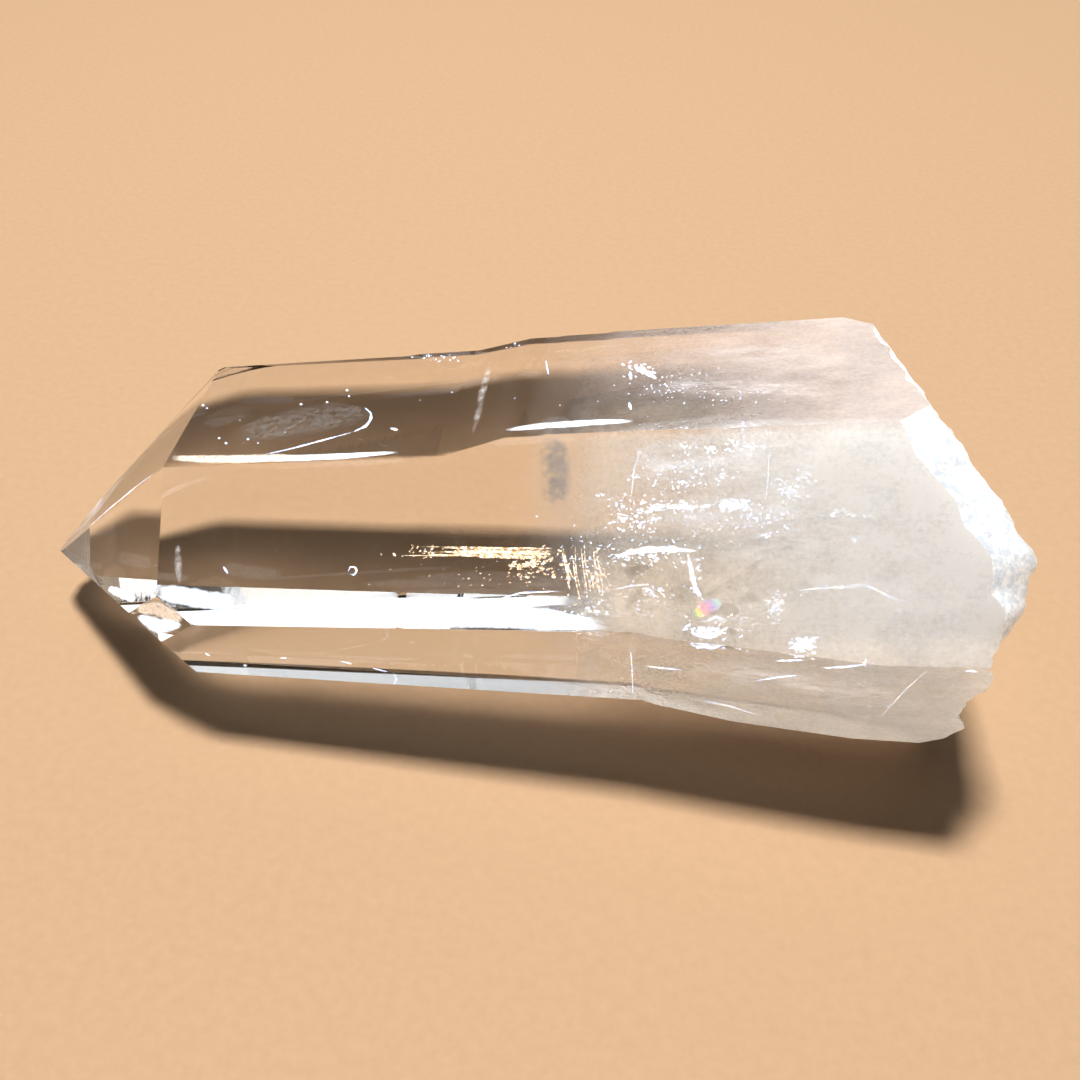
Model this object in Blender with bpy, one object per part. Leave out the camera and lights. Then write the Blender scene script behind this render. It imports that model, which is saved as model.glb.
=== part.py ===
"""A natural clear quartz point lying on its side: one crystal with a flat-faced tip and a broken base.

Lengths are in metres and angles in degrees. The crystal is first built in its own frame. There the growth
axis is w, pointing out of the tip, the broad front face looks along a, and b completes a right-handed set.
The apex is the origin. It is then turned onto its resting edge, with the tip towards -X and +Z up.
"""
import math

import bmesh
import bpy
from mathutils import Matrix, Vector

# Prism faces: azimuth round the growth axis, distance from the line through the apex, and taper.
# The taper is the angle by which a face leans in towards the axis on its way to the tip.
FACE_ORDER = ("front", "upper", "rear_upper", "under", "rear_lower", "lower")
FACE_AZIMUTH = {
    "front": -0.9, "upper": 60.8, "rear_upper": 120.0, "under": 180.0, "rear_lower": 240.0, "lower": 301.7,
}
FACE_DISTANCE = {
    "front": 0.01387, "upper": 0.01441, "rear_upper": 0.02045, "under": 0.00840, "rear_lower": 0.00770,
    "lower": 0.01238,
}
FACE_TAPER = {
    "front": 2.7, "upper": 2.4, "rear_upper": 0.6, "under": 6.6, "rear_lower": 4.4, "lower": 1.6,
}

# Growth steps: depth below the apex where each starts and ends, and how far the face stands out after it.
GROWTH_STEPS = {
    "front": ((0.0700, 0.0708, 0.00012),),
    "upper": ((0.0468, 0.0528, 0.00135), (0.0560, 0.0564, 0.00010)),
    "rear_upper": ((0.0390, 0.0402, 0.00030), (0.0610, 0.0618, 0.00025)),
    "under": ((0.0450, 0.0456, 0.00015),),
    "rear_lower": ((0.0648, 0.0740, 0.00200), (0.0740, 0.0860, 0.00020)),
    "lower": ((0.0646, 0.0660, 0.00035), (0.0660, 0.0860, 0.00190)),
}

# Tip faces: azimuth, angle of the face normal from the axis, and how far the face misses the apex.
TIP_FACES = {
    "front": (3.6, 51.6, 0.0),
    "upper": (55.7, 50.7, 0.0),
    "rear_upper": (120.1, 51.6, 0.00536),
    "under": (180.0, 51.8, 0.0032),
    "rear_lower": (240.0, 51.8, 0.0012),
    "lower": (299.6, 52.9, 0.0),
}
# The small diamond-shaped face on the corner between the front and lower sides.
CORNER_FACE = (-31.1, 66.8, 0.00597)

# Resting pose: the tip end of the axis dips, and the front face leans towards the viewer's side (-Y).
AXIS_DIP = 5.9
FRONT_LEAN = 51.9
CONTACT_DEPTH = 0.0015

# Broken base: a height field cut through the crystal, given as depth below the apex.
BASE_GRID = 62
BASE_SPAN = 0.034
UPPER_OFFSET = 0.0988
UPPER_SLOPE = 0.69
REAR_SLOPE = 0.25
TOP_START = 0.0228
TOP_SLOPE = 2.10
END_OUTLINE = (
    (-0.0240, 0.0860), (-0.0193, 0.0920), (-0.0182, 0.0948), (-0.0172, 0.0961), (-0.0156, 0.0956),
    (-0.0142, 0.0944), (-0.0134, 0.0952), (-0.0122, 0.0958), (-0.0106, 0.0956), (-0.0092, 0.0948),
    (-0.0080, 0.0950), (-0.0065, 0.0966), (-0.0040, 0.0983), (-0.0020, 0.0987), (0.0200, 0.0990),
)
UNDER_REACH = 0.0965
UNDER_START = -0.0060
UNDER_SLOPE = 0.70
RIM_START = 0.0163
RIM_SLOPE = 1.75
RIPPLE_HEIGHT = 0.00028
OVERSIZE = 0.120

# Small shell-shaped chips on the long corners: the two faces, depth below the apex, radius, and bite.
CHIPS = (
    ("upper", "rear_upper", 0.0388, 0.0015, 0.00050),
    ("upper", "rear_upper", 0.0431, 0.0011, 0.00035),
    ("upper", "rear_upper", 0.0515, 0.0009, 0.00030),
    ("upper", "rear_upper", 0.0632, 0.0013, 0.00045),
    ("front", "upper", 0.0612, 0.0008, 0.00022),
    ("rear_upper", "under", 0.0340, 0.0018, 0.00050),
    ("rear_upper", "under", 0.0705, 0.0022, 0.00070),
    ("lower", "front", 0.0702, 0.0009, 0.00028),
)


def step_out(name, depth):
    """Sum of the growth steps of one face at a depth below the apex."""
    total = 0.0
    for start, end, height in GROWTH_STEPS[name]:
        share = (depth - start) / (end - start)
        total += height * min(1.0, max(0.0, share))
    return total


def face_reach(name, w):
    """Distance of a prism face from the axis at height w, measured square to the axis."""
    lean = math.radians(FACE_TAPER[name])
    straight = (FACE_DISTANCE[name] - w * math.sin(lean)) / math.cos(lean)
    return straight + step_out(name, -w)


def section(w):
    """Corners of the prism at height w, each where two neighbouring faces cross."""
    corners = []
    for index, name in enumerate(FACE_ORDER):
        other = FACE_ORDER[(index + 1) % 6]
        a1, a2 = math.radians(FACE_AZIMUTH[name]), math.radians(FACE_AZIMUTH[other])
        d1, d2 = face_reach(name, w), face_reach(other, w)
        turn = math.sin(a2 - a1)
        x = (d1 * math.sin(a2) - d2 * math.sin(a1)) / turn
        y = (d2 * math.cos(a1) - d1 * math.cos(a2)) / turn
        corners.append((x, y, w))
    return corners


def stations():
    """Heights at which the prism needs a section: both ends and every start and end of a growth step."""
    heights = {0.004, -OVERSIZE}
    for steps in GROWTH_STEPS.values():
        for start, end, _ in steps:
            heights.update((-start, -end))
    return sorted(heights, reverse=True)


def build_prism(bm):
    """Six flat sides lofted through the stations, closed at both ends."""
    rings = [[bm.verts.new(point) for point in section(w)] for w in stations()]
    for upper, lower in zip(rings, rings[1:]):
        for i in range(6):
            j = (i + 1) % 6
            bm.faces.new((upper[i], lower[i], lower[j], upper[j]))
    bm.faces.new(rings[0])
    bm.faces.new(list(reversed(rings[-1])))


def cut_flat(bm, point, normal):
    """Cuts off everything beyond a plane and closes the opening with one flat face."""
    geometry = bm.verts[:] + bm.edges[:] + bm.faces[:]
    result = bmesh.ops.bisect_plane(
        bm, geom=geometry, dist=1e-7, plane_co=point, plane_no=normal, clear_outer=True
    )
    rim = [item for item in result["geom_cut"] if isinstance(item, bmesh.types.BMEdge)]
    rim = [edge for edge in rim if edge.is_boundary]
    if rim:
        bmesh.ops.edgenet_fill(bm, edges=rim)


def tip_normal(azimuth, from_axis):
    a, t = math.radians(azimuth), math.radians(from_axis)
    return Vector((math.cos(a) * math.sin(t), math.sin(a) * math.sin(t), math.cos(t)))


def along(outline, value):
    """Straight-line reading of an outline given as points."""
    if value <= outline[0][0]:
        return outline[0][1]
    for (x0, y0), (x1, y1) in zip(outline, outline[1:]):
        if value <= x1:
            return y0 + (y1 - y0) * (value - x0) / (x1 - x0)
    return outline[-1][1]


def base_depth(a, b):
    """Depth of the fracture below the apex at one point across the crystal.

    It is the shallowest of four surfaces: the stepped outline of the end, whose steps wander as they run
    under the crystal, a long slant on the upper side that steepens at the top, a bevel along the rim of the
    front face, and a slope underneath. Shell-like ripples are laid over it.
    """
    wander = 0.0011 * math.sin(a * 330.0 + 0.4) + 0.0005 * math.sin(a * 870.0 + 1.3)
    fade = min(1.0, max(0.0, (0.0140 - a) / 0.0080))
    end = along(END_OUTLINE, b + wander * fade)
    slant = UPPER_OFFSET - UPPER_SLOPE * b + REAR_SLOPE * (0.0185 - a) - TOP_SLOPE * max(0.0, b - TOP_START)
    rim = min(slant, end) - RIM_SLOPE * max(0.0, a - RIM_START) * min(1.0, max(0.0, (b + 0.0075) / 0.0050))
    under = UNDER_REACH + 0.0007 * math.sin(b * 380.0) - UNDER_SLOPE * (UNDER_START - a)
    depth = min(end, slant, rim, under)
    # ripples spread from a point on the rim
    away = math.hypot(a - 0.0150, b - 0.0170)
    swell = math.sin(away * 1250.0 + 1.2 * math.sin(a * 330.0))
    rough = math.sin(a * 1470.0 + b * 610.0) * math.sin(b * 1390.0 - a * 520.0 + 0.8)
    depth += RIPPLE_HEIGHT * (0.8 * swell + 0.7 * rough)
    return depth


def corner_point(first, second, depth):
    """Point of the corner between two neighbouring faces, and the direction out of it."""
    index = FACE_ORDER.index(first)
    if FACE_ORDER[(index + 1) % 6] != second:
        index = FACE_ORDER.index(second)
    point = Vector(section(-depth)[index])
    outward = Vector((point.x, point.y, 0.0)).normalized()
    return point, outward


def build_chips(name):
    """Faceted balls that bite into the long corners, all in one cutter."""
    bm = bmesh.new()
    for number, (first, second, depth, radius, bite) in enumerate(CHIPS):
        point, outward = corner_point(first, second, depth)
        centre = point + outward * (radius - bite)
        turn = Matrix.Rotation(1.1 * number, 4, Vector((0.3, 0.5, 0.8)).normalized())
        stretch = Matrix.Diagonal((1.0, 1.0, 1.5, 1.0))
        place = Matrix.Translation(centre) @ stretch @ turn
        bmesh.ops.create_icosphere(bm, subdivisions=2, radius=radius, matrix=place)
    mesh = bpy.data.meshes.new(name)
    bm.to_mesh(mesh)
    bm.free()
    cutter = bpy.data.objects.new(name, mesh)
    bpy.context.scene.collection.objects.link(cutter)
    cutter.hide_render = True
    cutter.display_type = "WIRE"
    return cutter


def build_break(name):
    """Solid that fills everything beyond the fracture."""
    count = BASE_GRID
    bm = bmesh.new()
    top = []
    far = []
    for i in range(count + 1):
        row = []
        back = []
        for j in range(count + 1):
            a = -BASE_SPAN + 2.0 * BASE_SPAN * i / count
            b = -BASE_SPAN + 2.0 * BASE_SPAN * j / count
            row.append(bm.verts.new((a, b, -base_depth(a, b))))
            back.append(bm.verts.new((a, b, -OVERSIZE - 0.02)))
        top.append(row)
        far.append(back)
    for i in range(count):
        for j in range(count):
            bm.faces.new((top[i][j], top[i + 1][j], top[i + 1][j + 1]))
            bm.faces.new((top[i][j], top[i + 1][j + 1], top[i][j + 1]))
            bm.faces.new((far[i][j], far[i][j + 1], far[i + 1][j + 1], far[i + 1][j]))
    for k in range(count):
        bm.faces.new((top[k][0], far[k][0], far[k + 1][0], top[k + 1][0]))
        bm.faces.new((top[k + 1][count], far[k + 1][count], far[k][count], top[k][count]))
        bm.faces.new((top[0][k + 1], far[0][k + 1], far[0][k], top[0][k]))
        bm.faces.new((top[count][k], far[count][k], far[count][k + 1], top[count][k + 1]))
    bmesh.ops.recalc_face_normals(bm, faces=bm.faces[:])
    mesh = bpy.data.meshes.new(name)
    bm.to_mesh(mesh)
    bm.free()
    cutter = bpy.data.objects.new(name, mesh)
    bpy.context.scene.collection.objects.link(cutter)
    cutter.hide_render = True
    cutter.display_type = "WIRE"
    return cutter


def resting_turn():
    """Turns the crystal's own frame (a, b, w) onto its resting pose, tip towards -X."""
    dip, lean = math.radians(AXIS_DIP), math.radians(FRONT_LEAN)
    tip = Vector((-math.cos(dip), 0.0, -math.sin(dip)))
    upright = Vector((-math.sin(dip), 0.0, math.cos(dip)))
    side = tip.cross(upright)
    front = upright * math.cos(lean) + side * math.sin(lean)
    if front.y > 0.0:
        front = upright * math.cos(lean) - side * math.sin(lean)
    across = tip.cross(front)
    return Matrix((front, across, tip)).transposed()


def quartz_material():
    """Clear quartz, as see-through glass with the index of quartz."""
    material = bpy.data.materials.new("clear_quartz")
    material.use_nodes = True
    shader = material.node_tree.nodes["Principled BSDF"]
    shader.inputs["Base Color"].default_value = (0.93, 0.93, 0.92, 1.0)
    shader.inputs["Roughness"].default_value = 0.03
    shader.inputs["IOR"].default_value = 1.544
    shader.inputs["Transmission Weight"].default_value = 1.0
    material.diffuse_color = (0.86, 0.87, 0.87, 0.35)
    return material


def main():
    for item in list(bpy.data.objects):
        bpy.data.objects.remove(item)

    bm = bmesh.new()
    build_prism(bm)
    for azimuth, from_axis, miss in TIP_FACES.values():
        normal = tip_normal(azimuth, from_axis)
        cut_flat(bm, normal * miss, normal)
    normal = tip_normal(CORNER_FACE[0], CORNER_FACE[1])
    cut_flat(bm, normal * CORNER_FACE[2], normal)
    bmesh.ops.recalc_face_normals(bm, faces=bm.faces[:])
    mesh = bpy.data.meshes.new("quartz_crystal")
    bm.to_mesh(mesh)
    bm.free()
    crystal = bpy.data.objects.new("quartz_crystal", mesh)
    bpy.context.scene.collection.objects.link(crystal)

    cutters = [build_break("break_cutter"), build_chips("chip_cutter")]
    for cutter in cutters:
        boolean = crystal.modifiers.new(cutter.name, "BOOLEAN")
        boolean.operation = "DIFFERENCE"
        boolean.solver = "EXACT"
        boolean.object = cutter
    bpy.context.view_layer.update()
    evaluated = crystal.evaluated_get(bpy.context.evaluated_depsgraph_get())
    broken = bpy.data.meshes.new_from_object(evaluated)
    crystal.modifiers.clear()
    crystal.data = broken
    for cutter in cutters:
        bpy.data.objects.remove(cutter)

    # lay it down, take off the flat it rests on, and centre it over the origin
    bm = bmesh.new()
    bm.from_mesh(broken)
    bm.transform(resting_turn().to_4x4())
    lowest = min(vertex.co.z for vertex in bm.verts)
    cut_flat(bm, Vector((0.0, 0.0, lowest + CONTACT_DEPTH)), Vector((0.0, 0.0, -1.0)))
    bmesh.ops.remove_doubles(bm, verts=bm.verts[:], dist=2e-6)
    bmesh.ops.dissolve_degenerate(bm, dist=2e-6, edges=bm.edges[:])
    bmesh.ops.recalc_face_normals(bm, faces=bm.faces[:])
    xs = [vertex.co.x for vertex in bm.verts]
    ys = [vertex.co.y for vertex in bm.verts]
    zs = [vertex.co.z for vertex in bm.verts]
    middle = Vector(((min(xs) + max(xs)) / 2.0, (min(ys) + max(ys)) / 2.0, min(zs)))
    bmesh.ops.translate(bm, verts=bm.verts[:], vec=-middle)
    bmesh.ops.triangulate(bm, faces=[face for face in bm.faces if len(face.verts) > 4])
    bm.to_mesh(broken)
    bm.free()
    broken.name = "quartz_crystal"
    broken.materials.clear()
    broken.materials.append(quartz_material())
    for polygon in broken.polygons:
        polygon.use_smooth = False
        polygon.material_index = 0


main()
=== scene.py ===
import math

import bmesh
import bpy
import numpy as np
from mathutils import Matrix


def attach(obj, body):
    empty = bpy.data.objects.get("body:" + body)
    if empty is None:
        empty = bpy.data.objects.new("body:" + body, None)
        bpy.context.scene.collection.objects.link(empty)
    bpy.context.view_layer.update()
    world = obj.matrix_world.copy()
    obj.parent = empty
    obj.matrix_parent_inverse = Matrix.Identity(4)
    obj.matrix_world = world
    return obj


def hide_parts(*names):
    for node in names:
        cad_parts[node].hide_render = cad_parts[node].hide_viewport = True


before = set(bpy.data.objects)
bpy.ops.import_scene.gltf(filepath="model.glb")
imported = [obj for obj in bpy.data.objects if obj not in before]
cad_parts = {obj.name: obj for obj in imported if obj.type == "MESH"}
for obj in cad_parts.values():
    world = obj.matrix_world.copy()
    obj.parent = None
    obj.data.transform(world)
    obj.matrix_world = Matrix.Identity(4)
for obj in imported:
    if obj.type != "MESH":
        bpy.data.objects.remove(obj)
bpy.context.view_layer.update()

# Place of the crystal: its own frame has w out of the tip, a square to the front face, b across it.
# The rows below are the directions a, b and w in the room; the last one is where the apex lies.
AXIS_DIP = math.radians(5.9)
FRONT_LEAN = math.radians(51.9)
APEX_PLACE = np.array((-0.0487629, -0.00183103, 0.00761293))
OUT_OF_TIP = np.array((-math.cos(AXIS_DIP), 0.0, -math.sin(AXIS_DIP)))
UPRIGHT = np.array((-math.sin(AXIS_DIP), 0.0, math.cos(AXIS_DIP)))
FRONT_WAY = UPRIGHT * math.cos(FRONT_LEAN) - np.array((0.0, 1.0, 0.0)) * math.sin(FRONT_LEAN)
ACROSS_WAY = np.cross(OUT_OF_TIP, FRONT_WAY)
TURN = np.stack((FRONT_WAY, ACROSS_WAY, OUT_OF_TIP), axis=1)

# Flat faces in the order they follow round the crystal: azimuth, distance from the axis, taper.
SIDES = {
    "front": (-0.9, 0.01387, 2.7),
    "upper": (60.8, 0.01441, 2.4),
    "rear_upper": (120.0, 0.02045, 0.6),
    "under": (180.0, 0.00840, 6.6),
    "rear_lower": (240.0, 0.00770, 4.4),
    "lower": (301.7, 0.01238, 1.6),
}
# Tip faces: azimuth, angle of the normal from the axis, and how far the face misses the apex.
TIPS = {
    "front": (3.6, 51.6, 0.0),
    "upper": (55.7, 50.7, 0.0),
    "rear_upper": (120.1, 51.6, 0.00536),
    "under": (180.0, 51.8, 0.0032),
    "rear_lower": (240.0, 51.8, 0.0012),
    "lower": (299.6, 52.9, 0.0),
    "corner": (-31.1, 66.8, 0.00597),
}
# Growth steps: depth where each starts and ends, and how far the face stands out after it.
STEPS = {
    "front": ((0.0700, 0.0708, 0.00012),),
    "upper": ((0.0468, 0.0528, 0.00135), (0.0560, 0.0564, 0.00010)),
    "rear_upper": ((0.0390, 0.0402, 0.00030), (0.0610, 0.0618, 0.00025)),
    "under": ((0.0450, 0.0456, 0.00015),),
    "rear_lower": ((0.0648, 0.0740, 0.00200), (0.0740, 0.0860, 0.00020)),
    "lower": ((0.0646, 0.0660, 0.00035), (0.0660, 0.0860, 0.00190)),
}
# Faces round the crystal, and how many columns of the surface each one takes.
ROUND = ("front", "upper", "rear_upper", "under", "rest", "rear_lower", "lower", "corner")
COLUMNS = {
    "front": 74, "upper": 74, "rear_upper": 50, "under": 50, "rest": 12, "rear_lower": 44, "lower": 44,
    "corner": 24,
}
# Depths where the rows stop being level near the point, and where they are level again on the sides.
POINT_END, SIDES_START = 0.0035, 0.0260
POINT_LEVELS = (-0.00098, -0.0007, -0.0004, 0.0, 0.0004, 0.0010, 0.0017, 0.0025, POINT_END)
SIDE_LEVELS = np.arange(0.0280, 0.0745, 0.0020)
STEP_MARKS = np.array([end for steps in STEPS.values() for step in steps for end in step[:2]])
AXIS_POINT = (-0.00150, 0.00002)

# Camera: its place, and the directions right, down and forward. SPREAD is the focal length in picture
# widths of 1080.
CAMERA_PLACE = np.array((0.01066, -0.08751, 0.09174))
CAMERA_WAYS = np.array((
    (0.99614, 0.08561, 0.01934), (0.07161, -0.66514, -0.74327), (-0.05076, 0.74179, -0.66870),
))
SPREAD = 1100.0
SENSOR_WIDTH = 36.0
LENS = 36.667
PICTURE_MIDDLE = 540.0
# Where the two ridges of the front face lie across the crystal, near its base.
LOWER_RIDGE, UPPER_RIDGE = -0.0060, 0.0112
QUARTZ_INDEX = 1.544
# How far an inner leaf keeps from a flat face, from the break and from the surface the crystal rests on.
FACE_MARGIN, BREAK_MARGIN, REST_MARGIN = 0.00002, 0.0004, 0.0003

# Outline of the broken end: place across the front face, and depth below the apex.
END_ACROSS = np.array((
    -0.0240, -0.0193, -0.0182, -0.0172, -0.0156, -0.0142, -0.0134, -0.0122, -0.0106, -0.0092, -0.0080,
    -0.0065, -0.0040, -0.0020, 0.0200,
))
END_DEPTH = np.array((
    0.0860, 0.0920, 0.0948, 0.0961, 0.0956, 0.0944, 0.0952, 0.0958, 0.0956, 0.0948, 0.0950,
    0.0966, 0.0983, 0.0987, 0.0990,
))
# Where the rows of the break shrink to one point, and the bend in degrees from which an edge is sharp.
BREAK_MIDDLE = (0.0020, 0.0010)
SHARP_FROM = 18.0


def put_in(name, data):
    """A new object with the given data, linked into the scene."""
    thing = bpy.data.objects.new(name, data)
    bpy.context.scene.collection.objects.link(thing)
    return thing


def stand(thing, right, up, back, place):
    """Stands an object at a place, turned so that its own x, y and z point right, up and back."""
    rows = [(right[k], up[k], back[k], place[k]) for k in range(3)]
    thing.matrix_world = Matrix(rows + [(0.0, 0.0, 0.0, 1.0)])


def place_camera():
    """Camera at the photograph's angle, from a fitted place, direction and field of view."""
    data = bpy.data.cameras.new("camera")
    data.sensor_width = SENSOR_WIDTH
    data.lens = LENS
    data.clip_start = 0.005
    camera = put_in("camera", data)
    right, down, forward = CAMERA_WAYS
    stand(camera, right, -down, -forward, CAMERA_PLACE)
    bpy.context.scene.camera = camera


def place_light(name, place, target, size, power, colour, size_y):
    """A soft rectangular lamp turned towards a point, with its width kept level where it can be."""
    data = bpy.data.lights.new(name, "AREA")
    data.shape = "RECTANGLE"
    data.size = size
    data.size_y = size_y
    data.energy = power
    data.color = colour
    away = np.array(place) - np.array(target)
    away = away / np.linalg.norm(away)
    side = np.array((1.0, 0.0, 0.0)) - away * away[0]
    side = side / np.linalg.norm(side)
    stand(put_in(name, data), side, np.cross(away, side), away, place)


class Reading:
    """A shader socket used in Python sums; each sum adds its Math node."""

    def __init__(self, finish, socket):
        self.finish = finish
        self.socket = socket

    def math(self, operation, first, second=None):
        node = self.finish.tree.nodes.new("ShaderNodeMath")
        node.operation = operation
        for slot, value in zip(node.inputs, (first, second)):
            if isinstance(value, Reading):
                self.finish.tree.links.new(value.socket, slot)
            elif value is not None:
                slot.default_value = value
        return Reading(self.finish, node.outputs[0])

    def __add__(self, other):
        return self.math("ADD", self, other)

    def __radd__(self, other):
        return self.math("ADD", other, self)

    def __sub__(self, other):
        return self.math("SUBTRACT", self, other)

    def __rsub__(self, other):
        return self.math("SUBTRACT", other, self)

    def __mul__(self, other):
        return self.math("MULTIPLY", self, other)

    def __rmul__(self, other):
        return self.math("MULTIPLY", other, self)

    def __truediv__(self, other):
        return self.math("DIVIDE", self, other)

    def at_least(self, other):
        return self.math("MAXIMUM", self, other)

    def at_most(self, other):
        return self.math("MINIMUM", self, other)

    def size(self):
        return self.math("ABSOLUTE", self)

    def clip(self):
        return self.at_least(0.0).at_most(1.0)


class Finish:
    """One named material and the nodes made in it."""

    def __init__(self, name):
        self.material = bpy.data.materials.new(name)
        self.material.use_nodes = True
        self.tree = self.material.node_tree
        self.tree.nodes.clear()
        self.out = self.tree.nodes.new("ShaderNodeOutputMaterial")

    def node(self, kind, settings=None, sockets=None):
        """Adds a node: its settings first, then the values or links of its sockets."""
        node = self.tree.nodes.new(kind)
        for key, value in (settings or {}).items():
            if key == "stops":
                ramp = node.color_ramp
                while len(ramp.elements) < len(value):
                    ramp.elements.new(0.5)
                for element, (place, colour) in zip(ramp.elements, value):
                    element.position = place
                    element.color = colour if isinstance(colour, tuple) else (colour, colour, colour, 1.0)
            else:
                setattr(node, key, value)
        for key, value in (sockets or {}).items():
            slot = node.inputs[key]
            if isinstance(value, Reading):
                self.tree.links.new(value.socket, slot)
            elif isinstance(value, bpy.types.NodeSocket):
                self.tree.links.new(value, slot)
            else:
                slot.default_value = value
        return node

    def read(self, kind, output, settings=None, sockets=None):
        """Adds a node and gives one of its outputs for sums."""
        return Reading(self, self.node(kind, settings, sockets).outputs[output])

    def place(self):
        return self.node("ShaderNodeTexCoord").outputs["Object"]

    def own_place(self):
        return self.node("ShaderNodeTexCoord").outputs["UV"]

    def margin(self, width):
        """0 at the outer edge of a leaf, 1 from the given share of its half width inwards."""
        parts = self.node("ShaderNodeSeparateXYZ", None, {"Vector": self.own_place()})
        along, across = Reading(self, parts.outputs[0]), Reading(self, parts.outputs[1])
        side = (1.0 - (across * 2.0 - 1.0).size()) / width
        end = (1.0 - (along * 2.0 - 1.0).size()) / (width * 0.5)
        return side.at_most(1.0) * end.at_most(1.0)

    def cloud(self, scale, detail=4.0, rough=0.55, stretch=None, shift=(0.0, 0.0, 0.0)):
        """Soft noise over the object's own place, optionally stretched."""
        where = self.place()
        if stretch:
            where = self.node("ShaderNodeMapping", None, {
                "Vector": where, "Scale": stretch, "Location": shift,
            }).outputs[0]
        return self.read("ShaderNodeTexNoise", "Fac", None, {
            "Vector": where, "Scale": scale, "Detail": detail, "Roughness": rough,
        })

    def ramp(self, value, *stops):
        return self.read("ShaderNodeValToRGB", "Color", {"stops": stops}, {"Fac": value})

    def blend(self, share, first, second):
        """Colour between two others, by a share that varies over the surface."""
        return self.node("ShaderNodeMix", {"data_type": "RGBA"}, {
            "Factor": share, "A": first, "B": second,
        }).outputs[2]

    def surface(self, shader):
        """Puts the shader on the surface and gives the finished material."""
        self.tree.links.new(shader.outputs[0], self.out.inputs["Surface"])
        return self.material


def steps_out(name, depth):
    """Sum of the growth steps of one face at a depth: each rises along a straight ramp."""
    total = np.zeros_like(depth)
    for start, end, height in STEPS[name]:
        total += height * np.clip((depth - start) / (end - start), 0.0, 1.0)
    return total


def side_distance(name, w):
    """Distance of a long side from the axis at height w: D - w sin(taper), over cos(taper), plus steps."""
    _, distance, taper = SIDES[name]
    lean = math.radians(taper)
    return (distance - w * math.sin(lean)) / math.cos(lean) + steps_out(name, -w)


def tip_distance(name, w):
    """Distance of a tip face from the axis at height w: (miss - w cos t) / sin t."""
    _, from_axis, miss = TIPS[name]
    t = math.radians(from_axis)
    return (miss - w * math.cos(t)) / math.sin(t)


def rest_distance(w):
    """Distance of the flat it lies on: the level z = 0 of the room, seen in the crystal's own frame."""
    down_a, down_b = -FRONT_WAY[2], -ACROSS_WAY[2]
    return (APEX_PLACE[2] + OUT_OF_TIP[2] * w) / math.hypot(down_a, down_b)


def flat_faces(w):
    """All flat faces at heights w: which face of ROUND each belongs to, its azimuth, and its distance."""
    owner, azimuth, distance = [], [], []
    for index, name in enumerate(ROUND):
        if name in SIDES:
            owner.append(index)
            azimuth.append(math.radians(SIDES[name][0]))
            distance.append(side_distance(name, w))
        if name in TIPS:
            owner.append(index)
            azimuth.append(math.radians(TIPS[name][0]))
            distance.append(tip_distance(name, w))
        if name == "rest":
            owner.append(index)
            azimuth.append(math.atan2(-ACROSS_WAY[2], -FRONT_WAY[2]))
            distance.append(rest_distance(w))
    return np.array(owner), np.array(azimuth), np.stack(distance)


def corner_tables():
    """Corners between neighbouring faces of ROUND at many heights.

    At each height the outline is the nearest face in every direction from the axis point. A corner is where
    the owner of the nearest face changes, worked out as the crossing of the two straight faces. A face that
    doesn't reach the outline at a height has both its corners at one place.
    """
    depth = np.unique(np.concatenate((
        np.arange(-0.00100, 0.0260, 0.00004), np.arange(0.0262, 0.1000, 0.0002), STEP_MARKS,
    )))
    w = -depth
    owner, azimuth, distance = flat_faces(w)
    a0, b0 = AXIS_POINT
    gap = distance - (a0 * np.cos(azimuth) + b0 * np.sin(azimuth))[:, None]
    count = 6000
    # directions start in the middle of the corner face, so that owners only rise
    start = math.radians(SIDES["front"][0]) - math.radians(29.0)
    around = start + 2.0 * math.pi * np.arange(count) / count
    facing = np.cos(around[:, None] - azimuth[None, :])
    corners = np.zeros((len(ROUND), len(w), 2))
    for row in range(len(w)):
        reach = np.where(facing > 1e-6, gap[:, row][None, :] / np.maximum(facing, 1e-6), 1.0)
        nearest = np.argmin(reach, axis=1)
        own = owner[nearest]
        change = np.nonzero(own != np.roll(own, 1))[0]
        for at in change:
            before, after = nearest[at - 1], nearest[at]
            a1, a2 = azimuth[before], azimuth[after]
            d1, d2 = distance[before, row], distance[after, row]
            turn = math.sin(a2 - a1)
            point = (
                (d1 * math.sin(a2) - d2 * math.sin(a1)) / turn,
                (d2 * math.cos(a1) - d1 * math.cos(a2)) / turn,
            )
            # the corner opens every face after the old owner, up to the new one
            face = (owner[before] + 1) % len(ROUND)
            while True:
                corners[face, row] = point
                if face == owner[after]:
                    break
                face = (face + 1) % len(ROUND)
    return depth, corners


def outer_point(face, share, depth, tables):
    """Point of the crystal's flat faces on a column of one face at a depth, in its own frame.

    The column's direction comes from the straight line between the face's two corners. Its distance from
    the axis is that of the nearest flat face in that direction.
    """
    levels, corners = tables
    first = np.stack([
        [np.interp(depth, levels, corners[f, :, k]) for f in range(len(ROUND))] for k in (0, 1)
    ], axis=-1)
    index = np.arange(len(face))
    left = first[face, index]
    right = first[(face + 1) % len(ROUND), index]
    spot = left + (right - left) * share[:, None]
    a0, b0 = AXIS_POINT
    way = np.arctan2(spot[:, 1] - b0, spot[:, 0] - a0)
    _, azimuth, distance = flat_faces(-depth)
    gap = distance - (a0 * np.cos(azimuth) + b0 * np.sin(azimuth))[:, None]
    facing = np.cos(way[None, :] - azimuth[:, None])
    reach = np.where(facing > 1e-6, gap / np.maximum(facing, 1e-6), 1.0).min(axis=0)
    return np.stack((a0 + reach * np.cos(way), b0 + reach * np.sin(way), -depth), axis=1)


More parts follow.
